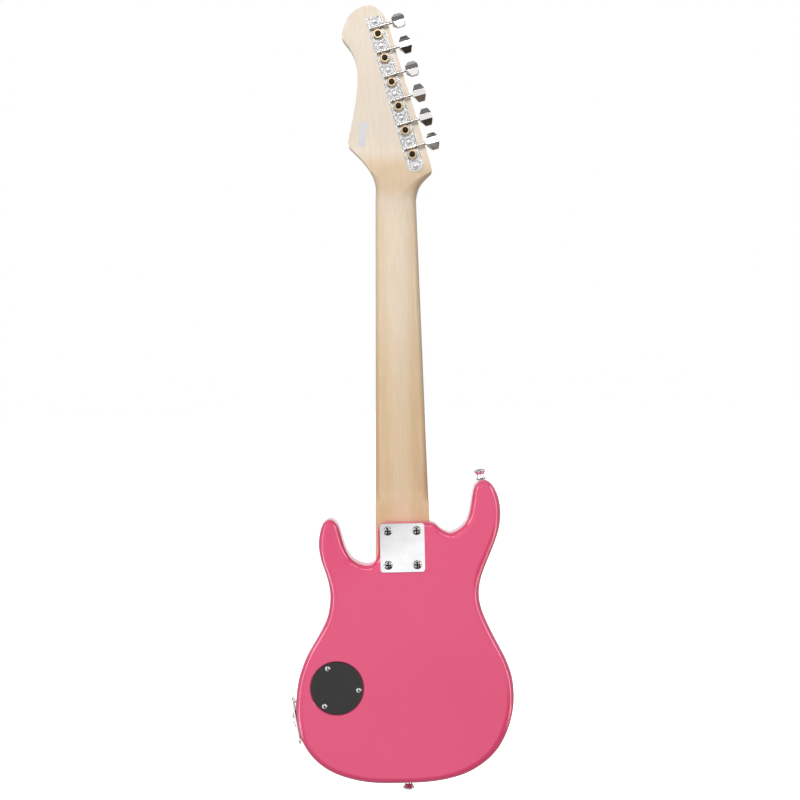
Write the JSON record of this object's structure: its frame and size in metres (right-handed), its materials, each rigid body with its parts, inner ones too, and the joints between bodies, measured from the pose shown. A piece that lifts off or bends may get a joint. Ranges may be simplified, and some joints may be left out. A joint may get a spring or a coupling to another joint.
{
  "type": "toy electric guitar",
  "caption": "Small bolt-on-neck electric guitar with a double-cutaway gloss body, a maple neck, in-line geared tuners, and a volume and a tone control.",
  "frame": {"origin": "on the centre line at the nut, in the plane of the body's front face, where a wall hanger carries the headstock", "axes": "+Z along the neck towards the headstock, +Y towards the back, -Y towards the strings, -X bass side, +X treble side"},
  "size_m": [0.2168, 0.0535, 0.7685],
  "materials": {
    "body_paint": "polyester paint, high gloss",
    "maple": "satin clear coat",
    "rosewood": "open grain, oiled",
    "fret_metal": "polished",
    "inlay": "satin",
    "nut_plastic": "satin",
    "steel": "plain",
    "chrome": "polished",
    "gear_brass": "plain",
    "black_plastic": "fine moulded texture",
    "black_felt": "felt",
    "wire_cover": "plain",
    "string_steel": "plain and wound",
    "label_paper": "blank"
  },
  "bodies": {
    "root": {"body": "body_paint", "neck": "maple", "fretboard": "rosewood", "frets": "fret_metal", "fret_dots": "inlay", "nut": "nut_plastic", "truss_rod": "steel", "saddle_height_screws": "steel", "intonation_screws": "steel", "intonation_springs": "steel", "pickup_baseplate": "steel", "pots": "steel", "strap_button_screws": "steel", "string_trees": "chrome", "tuner_plate": "chrome", "tuner_plate_screws": "chrome", "post_bushings": "chrome", "neck_plate": "chrome", "neck_bolts": "chrome", "control_cover_screws": "chrome", "jack_plate": "chrome", "jack_plate_screws": "chrome", "jack_socket": "chrome", "jack_nut": "chrome", "strap_buttons": "chrome", "bridge_plate": "chrome", "bridge_screws": "chrome", "saddles": "chrome", "pickup_ring_screws": "chrome", "pickup_poles": "chrome", "pot_nuts": "chrome", "control_cover": "black_plastic", "pickup_ring": "black_plastic", "pickup_bobbins": "black_plastic", "strap_button_washer": "black_felt", "wiring": "wire_cover", "strings": "string_steel", "headstock_label": "label_paper"},
    "key_1": {"tuner_key_1": "chrome"},
    "post_1": {"tuner_post_1": "chrome", "tuner_gear_1": "gear_brass"},
    "key_2": {"tuner_key_2": "chrome"},
    "post_2": {"tuner_post_2": "chrome", "tuner_gear_2": "gear_brass"},
    "key_3": {"tuner_key_3": "chrome"},
    "post_3": {"tuner_post_3": "chrome", "tuner_gear_3": "gear_brass"},
    "key_4": {"tuner_key_4": "chrome"},
    "post_4": {"tuner_post_4": "chrome", "tuner_gear_4": "gear_brass"},
    "key_5": {"tuner_key_5": "chrome"},
    "post_5": {"tuner_post_5": "chrome", "tuner_gear_5": "gear_brass"},
    "key_6": {"tuner_key_6": "chrome"},
    "post_6": {"tuner_post_6": "chrome", "tuner_gear_6": "gear_brass"},
    "volume_control": {"volume_knob": "chrome", "volume_shaft": "steel"},
    "tone_control": {"tone_knob": "chrome", "tone_shaft": "steel"}
  },
  "joints": [
    {"name": "key_spin_1", "type": "hinge", "parent": "root", "child": "key_1", "pos_m": [-0.01543, 0.0216, 0.04658], "axis": [0.9675, 0, -0.2529], "continuous": true},
    {"name": "post_spin_1", "type": "hinge", "parent": "root", "child": "post_1", "pos_m": [-0.0171, 0.0216, 0.0402], "axis": [0, 1, 0], "continuous": true},
    {"name": "key_spin_2", "type": "hinge", "parent": "root", "child": "key_2", "pos_m": [-0.00924, 0.0216, 0.07028], "axis": [0.9675, 0, -0.2529], "continuous": true},
    {"name": "post_spin_2", "type": "hinge", "parent": "root", "child": "post_2", "pos_m": [-0.0109, 0.0216, 0.0639], "axis": [0, 1, 0], "continuous": true},
    {"name": "key_spin_3", "type": "hinge", "parent": "root", "child": "key_3", "pos_m": [-0.00304, 0.0216, 0.09399], "axis": [0.9675, 0, -0.2529], "continuous": true},
    {"name": "post_spin_3", "type": "hinge", "parent": "root", "child": "post_3", "pos_m": [-0.00471, 0.0216, 0.08761], "axis": [0, 1, 0], "continuous": true},
    {"name": "key_spin_4", "type": "hinge", "parent": "root", "child": "key_4", "pos_m": [0.00316, 0.0216, 0.11769], "axis": [0.9675, 0, -0.2529], "continuous": true},
    {"name": "post_spin_4", "type": "hinge", "parent": "root", "child": "post_4", "pos_m": [0.00149, 0.0216, 0.11131], "axis": [0, 1, 0], "continuous": true},
    {"name": "key_spin_5", "type": "hinge", "parent": "root", "child": "key_5", "pos_m": [0.00935, 0.0216, 0.14139], "axis": [0.9675, 0, -0.2529], "continuous": true},
    {"name": "post_spin_5", "type": "hinge", "parent": "root", "child": "post_5", "pos_m": [0.00769, 0.0216, 0.13501], "axis": [0, 1, 0], "continuous": true},
    {"name": "key_spin_6", "type": "hinge", "parent": "root", "child": "key_6", "pos_m": [0.01555, 0.0216, 0.1651], "axis": [0.9675, 0, -0.2529], "continuous": true},
    {"name": "post_spin_6", "type": "hinge", "parent": "root", "child": "post_6", "pos_m": [0.01388, 0.0216, 0.15872], "axis": [0, 1, 0], "continuous": true},
    {"name": "volume_turn", "type": "hinge", "parent": "root", "child": "volume_control", "pos_m": [0.0592, 0, -0.4665], "axis": [0, -1, 0], "range_deg": [-270, 0]},
    {"name": "tone_turn", "type": "hinge", "parent": "root", "child": "tone_control", "pos_m": [0.0615, 0, -0.4889], "axis": [0, -1, 0], "range_deg": [-270, 0]}
  ],
  "couplings": [
    {"joint": "post_spin_1", "follows": "key_spin_1", "ratio": -0.071429},
    {"joint": "post_spin_2", "follows": "key_spin_2", "ratio": -0.071429},
    {"joint": "post_spin_3", "follows": "key_spin_3", "ratio": -0.071429},
    {"joint": "post_spin_4", "follows": "key_spin_4", "ratio": -0.071429},
    {"joint": "post_spin_5", "follows": "key_spin_5", "ratio": -0.071429},
    {"joint": "post_spin_6", "follows": "key_spin_6", "ratio": -0.071429}
  ]
}
